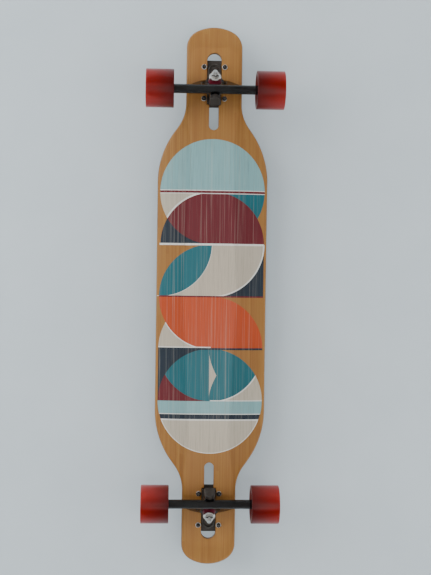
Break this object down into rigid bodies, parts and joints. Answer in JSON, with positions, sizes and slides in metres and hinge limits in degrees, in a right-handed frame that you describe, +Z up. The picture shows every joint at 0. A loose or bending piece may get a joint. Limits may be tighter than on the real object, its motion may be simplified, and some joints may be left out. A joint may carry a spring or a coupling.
{
  "type": "longboard skateboard",
  "caption": "Drop-through longboard with a bamboo deck, black reverse-kingpin trucks and wide red wheels; trucks steer and wheels spin.",
  "frame": {"origin": "on the ground under the middle of the board", "axes": "+X towards the nose, +Y along the axles, +Z up, wheels on the ground"},
  "size_m": [1.0874, 0.272, 0.1147],
  "materials": {
    "deck_wood": "clear lacquer over bamboo with a printed pattern",
    "grip": "coarse grit",
    "cast_black": "satin powder coat",
    "gloss_black": "gloss paint",
    "bushing": "smooth urethane",
    "cup": "matt urethane",
    "urethane": "smooth translucent red urethane",
    "core": "moulded",
    "bearing_steel": "polished",
    "shield": "moulded",
    "black_bolt": "black oxide",
    "steel": "turned",
    "zinc": "zinc plated"
  },
  "bodies": {
    "deck": {"deck": "deck_wood", "griptape": "grip", "front_baseplate": "cast_black", "front_kingpin": "steel", "front_kingpin_nut": "zinc", "front_bushing_roadside": "bushing", "front_bushing_boardside": "bushing", "front_washer_roadside": "zinc", "front_washer_boardside": "zinc", "front_pivot_cup": "cup", "front_mounting_bolts": "black_bolt", "front_mounting_nuts": "zinc", "front_mounting_washers": "zinc", "rear_baseplate": "cast_black", "rear_kingpin": "steel", "rear_kingpin_nut": "zinc", "rear_bushing_roadside": "bushing", "rear_bushing_boardside": "bushing", "rear_washer_roadside": "zinc", "rear_washer_boardside": "zinc", "rear_pivot_cup": "cup", "rear_mounting_bolts": "black_bolt", "rear_mounting_nuts": "zinc", "rear_mounting_washers": "zinc"},
    "front_hanger": {"front_hanger": "gloss_black", "front_axle": "steel", "front_axle_nuts": "zinc", "front_bearing_inner_rings": "bearing_steel", "front_bearing_spacers": "zinc", "front_speed_washers": "zinc"},
    "front_left_wheel": {"front_left_tyre": "urethane", "front_left_core": "core", "front_left_bearing_outer_rings": "bearing_steel", "front_left_bearing_balls": "bearing_steel", "front_left_bearing_shields": "shield"},
    "front_right_wheel": {"front_right_tyre": "urethane", "front_right_core": "core", "front_right_bearing_outer_rings": "bearing_steel", "front_right_bearing_balls": "bearing_steel", "front_right_bearing_shields": "shield"},
    "rear_hanger": {"rear_hanger": "gloss_black", "rear_axle": "steel", "rear_axle_nuts": "zinc", "rear_bearing_inner_rings": "bearing_steel", "rear_bearing_spacers": "zinc", "rear_speed_washers": "zinc"},
    "rear_left_wheel": {"rear_left_tyre": "urethane", "rear_left_core": "core", "rear_left_bearing_outer_rings": "bearing_steel", "rear_left_bearing_balls": "bearing_steel", "rear_left_bearing_shields": "shield"},
    "rear_right_wheel": {"rear_right_tyre": "urethane", "rear_right_core": "core", "rear_right_bearing_outer_rings": "bearing_steel", "rear_right_bearing_balls": "bearing_steel", "rear_right_bearing_shields": "shield"}
  },
  "joints": [
    {"name": "front_steer", "type": "hinge", "parent": "deck", "child": "front_hanger", "pos_m": [0.4257, 0, 0.0675], "axis": [0.766, 0, 0.6428], "range_deg": [-18, 18], "stiffness_Nm_per_rad": 40, "deforming": ["front_bushing_roadside", "front_bushing_boardside"]},
    {"name": "front_left_spin", "type": "hinge", "parent": "front_hanger", "child": "front_left_wheel", "pos_m": [0.4084, 0, 0.0375], "axis": [0, 1, 0], "continuous": true},
    {"name": "front_right_spin", "type": "hinge", "parent": "front_hanger", "child": "front_right_wheel", "pos_m": [0.4084, 0, 0.0375], "axis": [0, 1, 0], "continuous": true},
    {"name": "rear_steer", "type": "hinge", "parent": "deck", "child": "rear_hanger", "pos_m": [-0.4257, 0, 0.0675], "axis": [-0.766, 0, 0.6428], "range_deg": [-18, 18], "stiffness_Nm_per_rad": 40, "deforming": ["rear_bushing_roadside", "rear_bushing_boardside"]},
    {"name": "rear_left_spin", "type": "hinge", "parent": "rear_hanger", "child": "rear_left_wheel", "pos_m": [-0.4084, 0, 0.0375], "axis": [0, 1, 0], "continuous": true},
    {"name": "rear_right_spin", "type": "hinge", "parent": "rear_hanger", "child": "rear_right_wheel", "pos_m": [-0.4084, 0, 0.0375], "axis": [0, 1, 0], "continuous": true}
  ]
}
